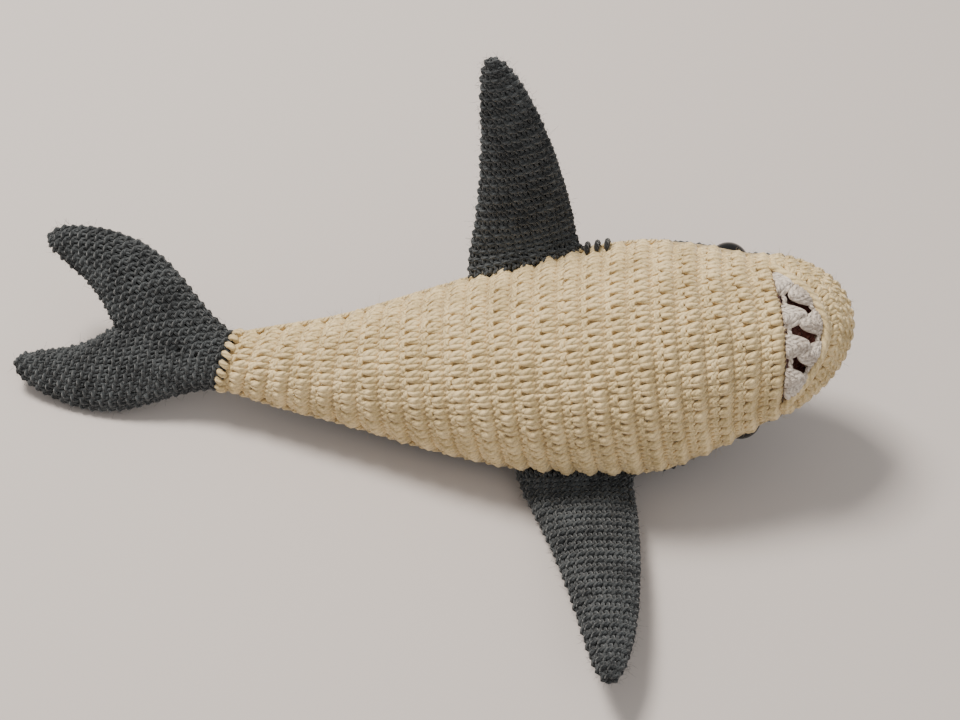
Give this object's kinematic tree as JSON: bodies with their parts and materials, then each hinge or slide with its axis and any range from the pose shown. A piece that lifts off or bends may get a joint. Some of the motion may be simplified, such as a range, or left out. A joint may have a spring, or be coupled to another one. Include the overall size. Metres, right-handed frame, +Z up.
{
  "type": "plush shark",
  "caption": "Crocheted plush shark with a forked tail, two long side fins, a back fin and a toothed mouth, lying rolled on its back.",
  "frame": {"origin": "middle of the flat patch of the back that rests on the ground", "axes": "+X towards the nose, level with the ground; +Z up; +Y towards the shark's right side, away from the side its belly faces"},
  "size_m": [0.3908, 0.2426, 0.1777],
  "materials": {
    "cream_yarn": "soft worsted yarn, matt with a fine halo",
    "grey_yarn": "soft worsted yarn, matt with a fine halo",
    "white_yarn": "fine cotton yarn, matt",
    "pink_yarn": "soft yarn, matt",
    "black_yarn": "embroidery yarn, matt",
    "black_plastic": "polished",
    "washer_plastic": "moulded",
    "stuffing": "loose polyester fibre"
  },
  "bodies": {
    "trunk": {"belly_panel": "cream_yarn", "snout_panel": "cream_yarn", "back_panel": "grey_yarn", "body_stuffing": "stuffing", "mouth_lining": "pink_yarn", "lower_teeth": "white_yarn", "upper_teeth": "white_yarn", "right_eye": "black_plastic", "left_eye": "black_plastic", "right_eye_washer": "washer_plastic", "left_eye_washer": "washer_plastic", "right_gill_stitches": "black_yarn", "left_gill_stitches": "black_yarn", "right_side_seam": "grey_yarn", "left_side_seam": "grey_yarn", "right_pectoral_seam": "grey_yarn", "left_pectoral_seam": "grey_yarn", "dorsal_seam": "grey_yarn", "tail_seam": "cream_yarn"},
    "right_pectoral": {"right_pectoral_fin": "grey_yarn", "right_pectoral_stuffing": "stuffing"},
    "left_pectoral": {"left_pectoral_fin": "grey_yarn", "left_pectoral_stuffing": "stuffing"},
    "dorsal": {"dorsal_fin": "grey_yarn", "dorsal_stuffing": "stuffing"},
    "tail": {"tail_fin": "grey_yarn", "tail_stuffing": "stuffing"}
  },
  "joints": [
    {"name": "right_pectoral_flap", "type": "hinge", "parent": "trunk", "child": "right_pectoral", "pos_m": [-0.01068, 0.04333, 0.08247], "axis": [0.9611, 0.0853, 0.2626], "range_deg": [-45, 30], "stiffness_Nm_per_rad": 0.12},
    {"name": "left_pectoral_flap", "type": "hinge", "parent": "trunk", "child": "left_pectoral", "pos_m": [0.01906, -0.04024, 0.00878], "axis": [-0.9861, 0.023, -0.1645], "range_deg": [-45, 30], "stiffness_Nm_per_rad": 0.12},
    {"name": "dorsal_lean", "type": "hinge", "parent": "trunk", "child": "dorsal", "pos_m": [0.02107, 0.03914, 0.00918], "axis": [0.9917, 0.0773, 0.103], "range_deg": [-95, 10], "stiffness_Nm_per_rad": 0.06},
    {"name": "tail_swing", "type": "hinge", "parent": "trunk", "child": "tail", "pos_m": [-0.16184, 0.01581, 0.02779], "axis": [-0.1358, -0.682, 0.7186], "range_deg": [-35, 45], "stiffness_Nm_per_rad": 0.15}
  ]
}
